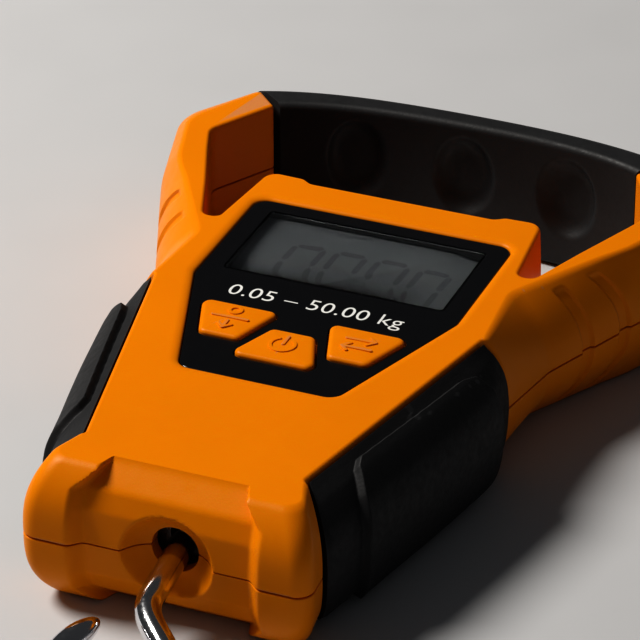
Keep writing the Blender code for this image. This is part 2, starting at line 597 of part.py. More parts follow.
def make_spring(name, x, start, heading, steel):
    """A tapered wire spring from the cell's flat end back to the bay's wall."""
    turns, points_each_turn, wire, length = 3.5, 10, 0.35, SPRING_SPACE - 1.4
    total = int(turns * points_each_turn)
    curve = bpy.data.curves.new(name, "CURVE")
    curve.dimensions = "3D"
    curve.bevel_depth = wire * MM
    curve.bevel_resolution = 1
    curve.use_fill_caps = True
    spline = curve.splines.new("POLY")
    spline.points.add(total)
    for index, point in enumerate(spline.points):
        share = index / total
        turn = 2 * math.pi * turns * share
        radius = 2.2 + 1.7 * share
        y = start + heading * (wire + length * share)
        place = Vector((x + radius * math.cos(turn), y, BATTERY_Z + radius * math.sin(turn)))
        point.co = (*(place * MM), 1.0)
    add_object(name, curve, steel)


def main():
    clear_scene()
    orange = material("orange_plastic", (0.80, 0.22, 0.005), 0.32)
    black = material("panel_black", (0.006, 0.006, 0.007), 0.12)
    clear = material("clear_acrylic", (0.35, 0.37, 0.40), 0.05)
    rubber = material("black_rubber", (0.014, 0.014, 0.015), 0.6)
    dark = material("dark_plastic", (0.02, 0.02, 0.022), 0.45)
    grey = material("lcd_grey", (0.10, 0.11, 0.115), 0.15)
    pale = material("backlight_white", (0.75, 0.77, 0.78), 0.5)
    green = material("board_green", (0.01, 0.12, 0.04), 0.4)
    silicone = material("keypad_silicone", (0.55, 0.55, 0.53), 0.6)
    steel = material("steel", (0.50, 0.50, 0.51), 0.3, 1.0)
    chrome = material("polished_steel", (0.72, 0.72, 0.73), 0.1, 1.0)
    brass = material("brass", (0.70, 0.50, 0.20), 0.25, 1.0)
    aluminium = material("aluminium", (0.66, 0.67, 0.69), 0.35, 1.0)
    sleeve = material("battery_sleeve", (0.05, 0.10, 0.25), 0.3)
    guide = material("guide", (1.0, 0.0, 1.0), 0.5)
    make_front_shell(orange, guide)
    make_rear_shell(orange, guide)
    make_shell_screws(steel)
    make_face(black, clear, guide)
    make_buttons(orange)
    make_keypad(silicone)
    make_display(black, grey, pale, rubber, guide)
    make_board(green, black)
    make_frame(steel, guide)
    make_load_cell(aluminium, pale, steel, guide)
    make_handle(rubber, dark, steel, guide)
    make_hook(chrome, steel, brass, guide)
    make_side_grips(rubber)
    make_batteries(sleeve, orange, steel)


main()
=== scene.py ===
"""The visual model of the digital fish scale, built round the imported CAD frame.

Lengths in the dimensions and the shape code are millimetres; MM turns them into metres. The frame
is the CAD's: +Z out of the front face, +Y from the hook to the handle, origin on the flat back.
"""

import math

import bmesh
import bpy
import numpy as np
from mathutils import Matrix, Vector


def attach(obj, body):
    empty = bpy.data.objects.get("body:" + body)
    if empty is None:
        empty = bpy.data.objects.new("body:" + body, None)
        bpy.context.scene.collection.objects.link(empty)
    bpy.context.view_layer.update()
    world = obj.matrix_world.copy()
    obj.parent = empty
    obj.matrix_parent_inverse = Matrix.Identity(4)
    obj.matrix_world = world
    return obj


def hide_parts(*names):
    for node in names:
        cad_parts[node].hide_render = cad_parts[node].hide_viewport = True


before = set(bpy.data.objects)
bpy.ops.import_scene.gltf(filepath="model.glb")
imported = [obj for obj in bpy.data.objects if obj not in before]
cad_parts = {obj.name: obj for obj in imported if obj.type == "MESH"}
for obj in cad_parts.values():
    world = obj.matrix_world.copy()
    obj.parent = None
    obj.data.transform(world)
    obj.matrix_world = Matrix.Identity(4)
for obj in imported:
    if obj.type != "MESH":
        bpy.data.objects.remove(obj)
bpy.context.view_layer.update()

MM = 0.001

# Camera and lights, in metres and watts. A light is (place, target, diameter, power, tint).
CAMERA_PLACE, CAMERA_TARGET = (0.24735, -0.62456, 0.40768), (0.00275, -0.02491, 0.0294)
FOCAL_LENGTH, SENSOR_WIDTH = 223.6, 36.0
KEY_LIGHT = ((-0.75, -0.06, 0.95), (0, -0.02, 0.01), 0.45, 13.5, (1.0, 0.97, 0.92))
FILL_LIGHT = ((0.5, -1.0, 0.7), (0, 0, 0), 1.0, 0.35, (0.92, 0.96, 1.0))
SKY_COLOUR, SKY_STRENGTH = (0.95, 0.97, 1.0, 1.0), 0.05
FLOOR_HALF_SIZE = 3000    # millimetres

# The case: front face, seam and the room inside
FRONT, SEAM, SEAM_HALF_GAP = 29.4, 14.7, 0.15
CAVITY_FLOOR, CAVITY_TOP = 2.2, 26.4
SEAM_EDGE, FRONT_EDGE, BACK_EDGE = 0.22, 0.8, 1.6    # radius of each rounded edge

# Right half of the case's outline, from the hook end round to the top of the neck:
# (x and y at the faces, x and y at the seam, corner radius, how full the bulge between them is)
CASE_HALF = (
    (25.2, -87.0, 28.4, -93.0, 7.0, 3.0), (21.9, -78.1, 27.9, -85.2, 0.9, 3.0),
    (21.5, -77.4, 21.8, -77.8, 0.9, 3.0), (33.7, -20.2, 33.9, -20.3, 0.9, 2.2),
    (34.2, -19.6, 38.8, -18.8, 0.9, 2.2), (32.6, -1.5, 41.5, -3.5, 6.0, 2.2),
    (44.0, 17.7, 52.4, 23.0, 25.0, 2.2), (48.8, 24.8, 55.6, 31.0, 25.0, 2.2),
    (54.0, 42.0, 62.4, 55.2, 10.0, 2.2), (44.6, 58.6, 53.0, 68.0, 0.9, 2.2),
    (39.5, 53.5, 39.5, 53.5, 0.9, 2.2), (47.6, 39.0, 47.6, 39.0, 4.0, 2.2),
    (45.0, 32.0, 45.0, 32.0, 20.0, 2.2), (39.5, 18.4, 39.5, 18.4, 20.0, 2.2),
    (34.6, 5.4, 34.4, 5.4, 2.2, 2.2), (31.4, 5.4, 31.8, 5.4, 1.6, 2.2),
    (29.2, 26.6, 29.6, 26.8, 3.0, 2.2), (21.5, 26.3, 21.5, 26.3, 2.0, 2.2),
    (19.5, 24.9, 19.5, 24.9, 2.0, 2.2),
)
CAVITY_HALF = ((18.8, -84.0, 2.0), (18.8, -79.0, 2.0), (31.0, -21.0, 2.0),
               (30.4, -2.0, 3.0), (28.6, 6.0, 3.0), (26.6, 22.4, 3.0))

# The straights after these corners are the arms' outer sides and the hook end. Two grooves cross
# each arm's outer side, at these shares of its length.
ARM_CORNERS, HOOK_END_CORNER = (5, 31), len(CASE_HALF) * 2 - 1
ARM_GROOVES, GROOVE_DEPTH, GROOVE_HALF_WIDTH, GROOVE_SIDE = (0.40, 0.78), 0.7, 1.9, 0.9

# The hook end
HOOK_AXIS_Z, HOOK_HOLE_RADIUS = SEAM, 4.6
LOBE_INNER_X, LOBE_WALL, LOBE_FADE_Z = 13.0, 1.6, 28.8
# The sunken middle of the hook end: (height, y), from the front face down to the seam
END_MIDDLE = ((30.4, -82.4), (29.4, -83.2), (28.8, -83.7), (25.3, -88.3), (21.4, -90.0), (14.7, -90.8))
# The bowl round the hook's hole: (distance from the hook's axis, y of its surface)
BOWL = ((0.0, -86.2), (4.6, -86.5), (5.4, -86.8), (6.2, -87.3), (7.0, -87.9), (7.8, -88.8), (8.5, -89.8),
        (9.2, -91.2), (10.0, -93.0), (12.0, -98.0))

# The face: panel, window, buttons and display
PANEL_HALF = ((27.0, 15.8, 3.0), (26.9, -16.0, 4.0), (15.6, -49.4, 3.0))
PANEL_BOTTOM, PANEL_TOP = 27.9, 28.8
LIP_REACH, LIP_WIDTH, LIP_DEPTH = 2.05, 1.9, 0.8
WINDOW_X, WINDOW_Y, WINDOW_CORNER = 22.8, 12.2, 0.9
PRINT_SIZE, PRINT_X, PRINT_Y = 5.5, -0.4, -19.5
BUTTON_SIDE = ((21.3, -25.2, 1.8), (17.1, -36.95, 1.8), (8.9, -36.95, 1.5), (5.0, -25.2, 1.5))
BUTTON_MIDDLE = ((4.4, -31.0, 1.6), (8.65, -42.1, 1.6))
BUTTON_TOP, BUTTON_CLEARANCE = 29.75, 0.35
DOME_TOP = 24.6
LCD_BOTTOM, LCD_TOP = 24.0, 26.0
DIGITS, DIGIT_X, DIGIT_PITCH, DIGIT_Y, DIGIT_WIDTH, DIGIT_HEIGHT = 4, -14.5, 8.6, -7.0, 5.8, 12.0

# The channels that the carrying frame lies in
LEG_PATH = ((33.6, -5.5), (38.4, 4.0), (43.4, 16.6), (49.2, 30.4), (52.9, 40.5), (53.6, 46.5))
ARM_END_PATH = ((50.4, 53.3), (45.2, 59.5))
CHANNEL_BOTTOM, CHANNEL_TOP = 8.1, 21.3

# The hook droops by HOOK_TILT degrees. BEND_START and BEND_CENTRE are distances from its pivot.
HOOK_PIVOT_Y, HOOK_TILT = -78.5, 11.0
ROD_RADIUS, NECK_RADIUS = 2.45, 1.9
BEND_START, BEND_CENTRE, BEND_RADIUS, BEND_ANGLE = 18.0, 37.0, 10.0, 205.0

# The handle: each finger hollow is an ellipse, with its half sizes along x and z
HANDLE_BACK, HANDLE_FRONT, HANDLE_EDGE = 0.4, 29.0, 1.5
FINGER_PITCH, FINGER_Z, FINGER_HALF_X, FINGER_HALF_Z, FINGER_DEPTH = 23.0, 16.9, 6.7, 9.3, 2.3
CORE_HALF_WIDTH, CORE_BOTTOM, CORE_TOP, CORE_END = 3.5, 10.6, 19.2, (53.6, 46.0)
GRIP_LOW, GRIP_HIGH = np.array((21.5, -77.4)), np.array((33.7, -20.2))

# The back: battery bay, door and screws. Profiles hold (distance into the case, radius).
BATTERY_X, BAY_HALF_WIDTH, BAY_LOW_Y, BAY_HIGH_Y, BAY_TOP = 14.1, 5.5, -70.4, -21.2, 13.1
DOOR_HALF_WIDTH, DOOR_LOW_Y, DOOR_HIGH_Y, DOOR_TOP = 20.6, -70.7, -20.7, 1.7
BAY_BLOCK = ((-19.8, -72.4), (19.8, -72.4), (21.2, -66.0), (21.2, -19.9), (-21.2, -19.9), (-21.2, -66.0))
BAND_END_Y = -50.1    # where the gold end of each cell's printed sleeve stops
DOOR_RIDGES, RIDGE_START_Y, RIDGE_PITCH = 9, -32.5, 1.5
SHELL_SCREWS = ((-15.5, -78.6), (15.5, -78.6), (-27.6, 0.0), (27.6, 0.0), (-22.8, 19.7), (22.8, 19.7))
SCREW_HOLE = ((-1.0, 3.7), (0.02, 3.62), (0.12, 3.3), (0.4, 2.98), (0.9, 2.9), (3.2, 2.9), (3.21, 1.5),
              (17.0, 1.5))
CASE_SCREW = ((0.0, 0.4), (0.0, 1.9), (0.1, 2.2), (0.35, 2.45), (0.6, 2.5), (1.7, 2.5), (1.75, 1.2),
              (20.0, 1.2), (21.0, 0.4))


# Camera

def aimed(name, data, place, target):
    """A camera or a light in the scene, looking from its place at the target."""
    place, target = Vector(place), Vector(target)
    turn = (target - place).to_track_quat("-Z", "Y")
    holder = bpy.data.objects.new(name, data)
    holder.matrix_world = Matrix.Translation(place) @ turn.to_matrix().to_4x4()
    bpy.context.scene.collection.objects.link(holder)
    return holder


def add_camera():
    camera = bpy.data.cameras.new("camera")
    camera.lens, camera.sensor_width = FOCAL_LENGTH, SENSOR_WIDTH
    camera.clip_start, camera.clip_end = 0.01, 20.0
    bpy.context.scene.camera = aimed("camera", camera, CAMERA_PLACE, CAMERA_TARGET)


# Materials

class Look:
    """A procedural material: object-space noise drives its colour, roughness and bump."""

    def __init__(self, name, **values):
        self.material = bpy.data.materials.new(name)
        self.material.use_nodes = True
        self.tree = self.material.node_tree
        self.shader = self.tree.nodes["Principled BSDF"]
        self.place = self.node("ShaderNodeTexCoord").outputs["Object"]
        self.height = None
        for socket, value in values.items():
            self.shader.inputs[socket.replace("_", " ")].default_value = value

    def node(self, kind, **settings):
        made = self.tree.nodes.new(kind)
        for key, value in settings.items():
            setattr(made, key, value)
        return made

    def link(self, source, target):
        self.tree.links.new(source, target)

    def noise(self, size, detail=3.0, stretch=(1.0, 1.0, 1.0)):
        """Noise whose features are about size millimetres across, as a 0 to 1 output."""
        made = self.node("ShaderNodeTexNoise")
        made.inputs["Scale"].default_value = 1.0 / (size * MM)
        made.inputs["Detail"].default_value = detail
        mapping = self.node("ShaderNodeMapping")
        mapping.inputs["Scale"].default_value = stretch
        self.link(self.place, mapping.inputs["Vector"])
        self.link(mapping.outputs["Vector"], made.inputs["Vector"])
        return made.outputs["Fac"]

    def spread(self, value, low, high, to_low=0.0, to_high=1.0):
        """The value with its range from low to high mapped to the other range, and held inside it."""
        made = self.node("ShaderNodeMapRange")
        limits = {"From Min": low, "From Max": high, "To Min": to_low, "To Max": to_high}
        for socket, number in limits.items():
            made.inputs[socket].default_value = number
        self.link(value, made.inputs["Value"])
        return made.outputs["Result"]

    def mix(self, share, first, second):
        """A colour between two: each is a colour or an output."""
        made = self.node("ShaderNodeMix", data_type="RGBA")
        self.link(share, made.inputs["Factor"])
        for socket, value in ((made.inputs[6], first), (made.inputs[7], second)):
            if isinstance(value, tuple):
                socket.default_value = (*value, 1.0)
            else:
                self.link(value, socket)
        return made.outputs[2]

    def edges(self, low, high):
        """How sharp the surface's edge is here, from 0 on flat parts to 1."""
        geometry = self.node("ShaderNodeNewGeometry")
        return self.spread(geometry.outputs["Pointiness"], low, high)

    def colour(self, output):
        self.link(output, self.shader.inputs["Base Color"])

    def rough(self, output):
        self.link(output, self.shader.inputs["Roughness"])

    def bump(self, height, depth, strength=1.0):
        """Adds a bump of that depth in millimetres on top of those before it."""
        made = self.node("ShaderNodeBump")
        made.inputs["Distance"].default_value = depth * MM
        made.inputs["Strength"].default_value = strength
        self.link(height, made.inputs["Height"])
        if self.height is not None:
            self.link(self.height, made.inputs["Normal"])
        self.height = made.outputs["Normal"]
        self.link(self.height, self.shader.inputs["Normal"])


def plastic(name, colour, roughness, grain=0.02, variation=0.06, wear_and_highlight=0.0, **values):
    """Moulded plastic: faint cloudy colour, a fine spark-eroded grain and uneven gloss."""
    look = Look(name, **values)
    darker = tuple(channel * (1 - variation) for channel in colour)
    lighter = tuple(min(1.0, channel * (1 + variation)) for channel in colour)
    tone = look.mix(look.noise(22.0, 4.0), darker, lighter)
    # Paler sharp edges: partly rubbed wear, partly a painted highlight along the rims.
    if wear_and_highlight:
        worn_and_highlit = tuple(min(1.0, channel * 0.7 + 0.3 * wear_and_highlight) for channel in colour)
        tone = look.mix(look.edges(0.54, 0.70), tone, worn_and_highlit)
    look.colour(tone)
    look.rough(look.spread(look.noise(3.0, 5.0), 0.3, 0.7, roughness - 0.05, roughness + 0.06))
    look.bump(look.noise(6.0, 2.0), 0.05, 0.5)
    look.bump(look.noise(0.35, 3.0), grain)
    return look.material


def rubber(name, colour, roughness=0.62):
    """Matte rubber with a fine leathery grain and paler rubbed edges."""
    look = Look(name, Specular_IOR_Level=0.35)
    pale = tuple(channel * 2.2 + 0.012 for channel in colour)
    tone = look.mix(look.noise(12.0, 5.0), colour, tuple(channel * 1.5 for channel in colour))
    look.colour(look.mix(look.edges(0.53, 0.66), tone, pale))
    look.rough(look.spread(look.noise(1.5, 4.0), 0.3, 0.7, roughness - 0.07, roughness + 0.08))
    look.bump(look.noise(0.55, 4.0), 0.045)
    look.bump(look.noise(0.16, 2.0), 0.015)
    return look.material


def metal(name, colour, roughness, brushing=(1.0, 1.0, 1.0), grain=0.004):
    """Metal with a faintly uneven tone. brushing stretches its grain along an axis."""
    look = Look(name, Metallic=1.0)
    darker = tuple(channel * 0.82 for channel in colour)
    look.colour(look.mix(look.noise(9.0, 4.0, brushing), darker, colour))
    look.rough(look.spread(look.noise(0.8, 6.0, brushing), 0.3, 0.7, roughness * 0.7, roughness * 1.35))
    look.bump(look.noise(0.3, 3.0, brushing), grain)
    return look.material


def board_look():
    """Green solder resist with paler copper tracks under it and tinned pads."""
    look = Look("board_resist", Coat_Weight=0.4)
    track = look.node("ShaderNodeTexBrick")
    track.inputs["Scale"].default_value = 420.0
    track.inputs["Mortar Size"].default_value = 0.03
    look.link(look.place, track.inputs["Vector"])
    tone = look.mix(track.outputs["Fac"], (0.012, 0.11, 0.035), (0.03, 0.20, 0.07))
    look.colour(look.mix(look.spread(look.noise(1.6, 0.0), 0.70, 0.72), tone, (0.55, 0.55, 0.50)))
    look.rough(look.spread(look.noise(2.0), 0.3, 0.7, 0.28, 0.42))
    look.bump(track.outputs["Fac"], 0.03)
    return look.material


def clear_look():
    """Clear acrylic with a few soft smears."""
    look = Look("clear_window", Transmission_Weight=1.0, IOR=1.49)
    look.colour(look.mix(look.noise(18.0, 3.0), (0.90, 0.92, 0.93), (0.96, 0.97, 0.97)))
    look.rough(look.spread(look.noise(7.0, 6.0), 0.35, 0.75, 0.015, 0.06))
    look.bump(look.noise(9.0, 2.0), 0.004)
    return look.material


def battery_look():
    """A printed sleeve: a gold band at one third, deep blue over the rest."""
    look = Look("battery_sleeve", Coat_Weight=0.5)
    split = look.node("ShaderNodeSeparateXYZ")
    look.link(look.place, split.inputs["Vector"])
    along = look.spread(split.outputs["Y"], (BAND_END_Y - 0.1) * MM, (BAND_END_Y + 0.1) * MM)
    tone = look.mix(along, (0.55, 0.36, 0.10), (0.02, 0.05, 0.16))
    look.colour(look.mix(look.spread(look.noise(0.9, 5.0), 0.5, 1.4), tone, (0.6, 0.6, 0.6)))
    look.rough(look.spread(look.noise(3.0, 4.0), 0.3, 0.7, 0.22, 0.36))
    look.bump(look.noise(5.0, 2.0), 0.02)
    return look.material


# Outlines

def mirrored(half):
    """The right half's corners, then their mirror images in reverse order."""
    return [tuple(corner) for corner in half] + [(-corner[0], *corner[1:]) for corner in reversed(half)]


def corner_arc(corners, index):
    """(centre, spoke to the arc's start, signed turn, radius) of one rounded corner."""
    x, y, radius = corners[index][:3]
    corner = Vector((x, y))
    back = Vector(corners[index - 1][:2]) - corner
    ahead = Vector(corners[(index + 1) % len(corners)][:2]) - corner
    half_angle = back.angle(ahead) / 2
    run = min(radius / math.tan(half_angle), 0.45 * back.length, 0.45 * ahead.length)
    centre = corner + (back.normalized() + ahead.normalized()).normalized() * (run / math.cos(half_angle))
    spoke = corner + back.normalized() * run - centre
    turn = math.copysign(math.pi - 2 * half_angle, ahead.cross(back))
    return centre, spoke, turn, spoke.length


def plan_of(corners, spacing=1.0, fine=None):
    """How many steps each corner's arc and the straight after it are split into."""
    arcs = [corner_arc(corners, index) for index in range(len(corners))]
    plan = []
    for index, (centre, spoke, turn, radius) in enumerate(arcs):
        end = centre + Matrix.Rotation(turn, 2) @ spoke
        following = arcs[(index + 1) % len(arcs)]
        start = following[0] + following[1]
        step = (fine or {}).get(index, spacing)
        turns = max(3, math.ceil(abs(turn) / math.radians(11)), math.ceil(abs(turn) * radius / spacing))
        plan.append((turns, max(1, math.ceil((start - end).length / step))))
    return plan


def rounded(corners, plan=None):
    """The outline through corners (x, y, radius), each turned on an arc, as an (n, 2) array."""
    plan = plan or plan_of(corners)
    arcs = [corner_arc(corners, index) for index in range(len(corners))]
    outline = []
    for index, (centre, spoke, turn, _) in enumerate(arcs):
        turns, straights = plan[index]
        outline += [centre + Matrix.Rotation(turn * step / turns, 2) @ spoke for step in range(turns + 1)]
        following = arcs[(index + 1) % len(arcs)]
        end, start = outline[-1], following[0] + following[1]
        outline += [end.lerp(start, step / straights) for step in range(1, straights)]
    return np.array([tuple(point) for point in outline])


def rectangle(half_x, low_y, high_y, radius):
    corners = ((-half_x, low_y), (half_x, low_y), (half_x, high_y), (-half_x, high_y))
    return [(x, y, radius) for x, y in corners]


def counter_clockwise(outline):
    following = np.roll(outline, -1, axis=0)
    area = (outline[:, 0] * following[:, 1] - outline[:, 1] * following[:, 0]).sum()
    return outline if area > 0 else outline[::-1]


def outline_of(corners, spacing=1.0):
    """The rounded outline through the corners, counter-clockwise."""
    return counter_clockwise(rounded(corners, plan_of(corners, spacing)))


def inset(outline, distance):
    """The outline, counter-clockwise, moved inwards by the distance, or by one distance for each point."""
    distance = np.broadcast_to(distance, len(outline))
    back = outline - np.roll(outline, 1, axis=0)
    ahead = np.roll(outline, -1, axis=0) - outline
    back /= np.maximum(np.linalg.norm(back, axis=1, keepdims=True), 1e-9)
    ahead /= np.maximum(np.linalg.norm(ahead, axis=1, keepdims=True), 1e-9)
    inward = np.stack([-back[:, 1] - ahead[:, 1], back[:, 0] + ahead[:, 0]], axis=1)
    inward /= np.maximum(np.linalg.norm(inward, axis=1, keepdims=True), 1e-9)
    reach = np.maximum(0.5, -inward[:, 0] * back[:, 1] + inward[:, 1] * back[:, 0])
    return outline + inward * (distance / reach)[:, None]


def edge_limit(outline, most):
    """The largest edge rounding at each point that its tightest corner nearby has room for."""
    back = outline - np.roll(outline, 1, axis=0)
    ahead = np.roll(outline, -1, axis=0) - outline
    turn = np.arctan2(back[:, 0] * ahead[:, 1] - back[:, 1] * ahead[:, 0], (back * ahead).sum(axis=1))
    lengths = np.linalg.norm(ahead, axis=1)
    shorter = np.minimum(lengths, np.linalg.norm(back, axis=1))
    limit = np.where(turn > 0.01, 0.8 * shorter / np.maximum(turn, 0.01), most)
    limit = np.minimum(limit, most)
    count = len(outline)
    steps = [(index % count, (index + 1) % count) for index in range(2 * count)]
    for here, following in steps:
        limit[following] = min(limit[following], limit[here] + 0.45 * lengths[here])
    for here, following in reversed(steps):
        limit[here] = min(limit[here], limit[following] + 0.45 * lengths[here])
    return limit


def at_height(outline, z):
    return np.column_stack([outline, np.full(len(outline), z)])


def band(path, half_widths):
    """The outline of a strip along the path, with a half width at each of its points."""
    path = np.array(path, float)
    along = np.gradient(path, axis=0)
    across = np.stack([-along[:, 1], along[:, 0]], axis=1)
    across *= (np.array(half_widths) / np.linalg.norm(across, axis=1))[:, None]
    return counter_clockwise(np.vstack([path - across, (path + across)[::-1]]))


def smooth(share):
    """A share that eases in and out between 0 and 1."""
    share = np.clip(share, 0.0, 1.0)
    return share * share * (3 - 2 * share)


# Meshes

def piece(name, points, faces, look, sharp=32.0):
    """A mesh object from points in millimetres."""
    mesh = bpy.data.meshes.new(name)
    mesh.from_pydata((np.asarray(points, float) * MM).tolist(), [], faces)
    solid = bmesh.new()
    solid.from_mesh(mesh)
    if solid.calc_volume(signed=True) < 0:
        bmesh.ops.reverse_faces(solid, faces=solid.faces)
    solid.to_mesh(mesh)
    solid.free()
    made = bpy.data.objects.new(name, mesh)
    if look is not None:
        mesh.materials.append(look)
    bpy.context.scene.collection.objects.link(made)
    soften(made, sharp)
    return made


def soften(made, sharp=32.0):
    made.data.shade_smooth()
    made.data.set_sharp_from_angle(angle=math.radians(sharp))


def loft(name, rings, look, sharp=32.0):
    """A solid through rings of equal numbers of points."""
    rings = np.asarray(rings, float)
    levels, count = rings.shape[:2]
    index = np.arange(levels * count).reshape(levels, count)
    following = np.roll(index, -1, axis=1)
    faces = np.stack([index[:-1], following[:-1], following[1:], index[1:]], axis=-1).reshape(-1, 4).tolist()
    faces += [index[0][::-1].tolist(), index[-1].tolist()]
    return piece(name, rings.reshape(-1, 3), faces, look, sharp)


def fillet(radius, steps=6):
    """(distance down from the face, inset) along a rounded edge, ending at the face."""
    turns = np.linspace(0, math.pi / 2, steps + 1)
    return [(radius * (1 - math.sin(turn)), radius * (1 - math.cos(turn))) for turn in turns]


def slab(name, outline, low, high, look=None, edge=0.0):
    """A plate with that outline, and edges rounded by edge if it isn't 0."""
    rounding = fillet(edge, 5) if edge else [(0.0, 0.0)]
    rings = [at_height(inset(outline, inward), low + drop) for drop, inward in reversed(rounding)]
    rings += [at_height(inset(outline, inward), high - drop) for drop, inward in rounding]
    return loft(name, rings, look)


def block(name, low, high, look=None, edge=0.0):
    outline = np.array([(low[0], low[1]), (high[0], low[1]), (high[0], high[1]), (low[0], high[1])], float)
    return slab(name, outline, low[2], high[2], look, edge)


def turned(name, profile, start, axis, look=None, sides=64):
    """A solid of revolution: profile holds (distance along the axis, radius)."""
    axis = Vector(axis).normalized()
    across = axis.orthogonal().normalized()
    beside = axis.cross(across)
    axis, across, beside, start = (np.array(item) for item in (axis, across, beside, start))
    turns = np.arange(sides) * 2 * math.pi / sides
    circle = np.cos(turns)[:, None] * across + np.sin(turns)[:, None] * beside
    rings = [start + axis * distance + circle * radius for distance, radius in profile]
    return loft(name, rings, look)


def combine(target, tools, operation="DIFFERENCE", sharp=32.0):
    """Cuts the tools from the target, or joins them on, and removes the tools."""
    for tool in tools:
        change = target.modifiers.new(tool.name, "BOOLEAN")
        change.operation = operation
        change.object = tool
        change.solver = "EXACT"
    bpy.context.view_layer.update()
    evaluated = target.evaluated_get(bpy.context.evaluated_depsgraph_get())
    result = bpy.data.meshes.new_from_object(evaluated)
    target.modifiers.clear()
    target.data = result
    for tool in tools:
        bpy.data.objects.remove(tool, do_unlink=True)
    soften(target, sharp)


def even_normals(target):
    """Shades flat faces flat beside their rounded edges."""
    change = target.modifiers.new("even_normals", "WEIGHTED_NORMAL")
    change.keep_sharp = True
    change.weight = 100


def stand_for(made, body, slot, *nodes):
    """Makes the piece ride on a body and stand in for those CAD nodes. slot is not used."""
    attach(made, body)
    if nodes:
        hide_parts(*nodes)


# Case

def case_corners(z):
    """The outline's corners at a height: the sides bulge from both faces out to the seam."""
    away = (z - SEAM) / (FRONT - SEAM) if z > SEAM else (SEAM - z) / SEAM
    corners = []
    for face_x, face_y, seam_x, seam_y, radius, fullness in CASE_HALF:
        share = 1 - away ** fullness
        corners.append((face_x + (seam_x - face_x) * share, face_y + (seam_y - face_y) * share, radius))
    return mirrored(corners)


CASE_PLAN = plan_of(case_corners(SEAM), 1.0, {HOOK_END_CORNER: 0.35, **dict.fromkeys(ARM_CORNERS, 0.3)})


def end_middle_y(height):
    """The sunken middle's y at each height above the seam's middle, with its edges softened."""
    heights, places = np.array(END_MIDDLE[::-1]).T
    shifts = np.linspace(-0.45, 0.45, 7)
    return np.mean([np.interp(SEAM + np.abs(height + shift), heights, places) for shift in shifts], axis=0)


def shape_hook_end(ring):
    """Sinks the middle of the hook end behind its two lobes, and the bowl into it."""
    x, y, z = ring.T
    height = np.abs(z - SEAM)
    depth = np.clip((LOBE_FADE_Z - SEAM - height) / 3.5, 0.0, 1.0)
    half_width, wall = LOBE_INNER_X + 2.7 * depth, LOBE_WALL + LOBE_WALL * depth
    share = smooth((half_width + wall - np.abs(x)) / wall)
    floor = y + np.maximum(0.0, end_middle_y(height) - y) * share
    bowl = np.interp(np.hypot(x, z - HOOK_AXIS_Z), *np.array(BOWL).T)
    # The two surfaces meet on a softly rounded rim.
    reach = 0.5
    blend = np.clip(0.5 + 0.5 * (bowl - floor) / reach, 0.0, 1.0)
    sunk = floor + (bowl - floor) * blend + reach * blend * (1 - blend)
    ring[:, 1] = np.where(y < -60, np.maximum(y, sunk), y)
    return ring


def press_grooves(outline, z):
    """Presses two shallow grooves into the outer side of each arm, fading out at both faces."""
    first = ARM_CORNERS[0]
    corners = np.array(case_corners(z))[first:first + 2, :2]
    fade = smooth((FRONT - 1.5 - z) / 1.6) * smooth((z - 1.5) / 1.6)
    for side in (-1, 1):
        start, end = corners * (side, 1)
        along = (end - start) / np.linalg.norm(end - start)
        outward = np.array((along[1], -along[0])) * side
        for share in ARM_GROOVES:
            offset = outline - (start + (end - start) * share)
            pressed = smooth((GROOVE_HALF_WIDTH - np.abs(offset @ along)) / GROOVE_SIDE)
            pressed *= np.abs(offset @ outward) < 1.5
            outline = outline - outward * (GROOVE_DEPTH * fade * pressed)[:, None]
    return outline


def case_outline(z):
    return press_grooves(rounded(case_corners(z), CASE_PLAN), z)


def case_edge(start, toward, radius, steps):
    """Rings that round the case's edge at a face or at the seam, from its side to its end."""
    side, end = case_outline(start - toward * radius), case_outline(start)
    limit = np.minimum(edge_limit(side, radius), edge_limit(end, radius))
    rings = []
    for drop, inward in fillet(1.0, steps):
        drop = limit * drop
        outline = side + (end - side) * (1 - drop / radius)[:, None]
        outline = inset(outline, limit * inward)
        rings.append(shape_hook_end(np.column_stack([outline, start - toward * drop])))
    return rings


def shell_rings(face, toward):
    """Rings from the seam to a face. toward is 1 for the front shell and -1 for the rear one."""
    start = SEAM + toward * SEAM_HALF_GAP
    rings = case_edge(start, -toward, SEAM_EDGE, 3)[::-1]
    face_radius = FRONT_EDGE if toward > 0 else BACK_EDGE
    for z in np.linspace(start + toward * 0.5, face - toward * (face_radius + 0.2), 38):
        rings.append(shape_hook_end(at_height(case_outline(z), z)))
    return rings + case_edge(face, toward, face_radius, 7)


def arm_channel(side):
    """The tool that cuts the channel for the carrying frame's leg through one arm."""
    path = ((27.0, -12.5), *LEG_PATH, *ARM_END_PATH, (43.0, 62.0))
    widths = (4.0, 2.6, 2.2, 2.4, 2.6, 3.2, 3.9, 3.9, 3.9, 3.9)
    return slab("arm_channel", band([(side * x, y) for x, y in path], widths), CHANNEL_BOTTOM, CHANNEL_TOP)


def hook_hole():
    profile = [(-96.0, HOOK_HOLE_RADIUS), (-81.0, HOOK_HOLE_RADIUS)]
    return turned("hook_hole", profile, (0, 0, HOOK_AXIS_Z), (0, 1, 0), sides=96)


def panel_outline():
    return outline_of(mirrored(PANEL_HALF), 0.8)


def panel_recess():
    """The recess for the face panel, with its broad rounded lip."""
    outline = panel_outline()
    rings = [at_height(inset(outline, -0.15), PANEL_BOTTOM - 0.3)]
    for turn in np.linspace(0, math.pi / 2, 9):
        lip = inset(outline, -LIP_REACH + LIP_WIDTH * math.cos(turn))
        rings.append(at_height(lip, FRONT - LIP_DEPTH + LIP_DEPTH * math.sin(turn)))
    rings.append(at_height(inset(outline, -LIP_REACH), FRONT + 1.0))
    return loft("panel_recess", rings, None)


def button_outlines():
    side, middle = outline_of(BUTTON_SIDE, 0.5), outline_of(mirrored(BUTTON_MIDDLE), 0.5)
    return {"tare_button": counter_clockwise(side * (-1, 1)), "power_button": middle, "unit_button": side}


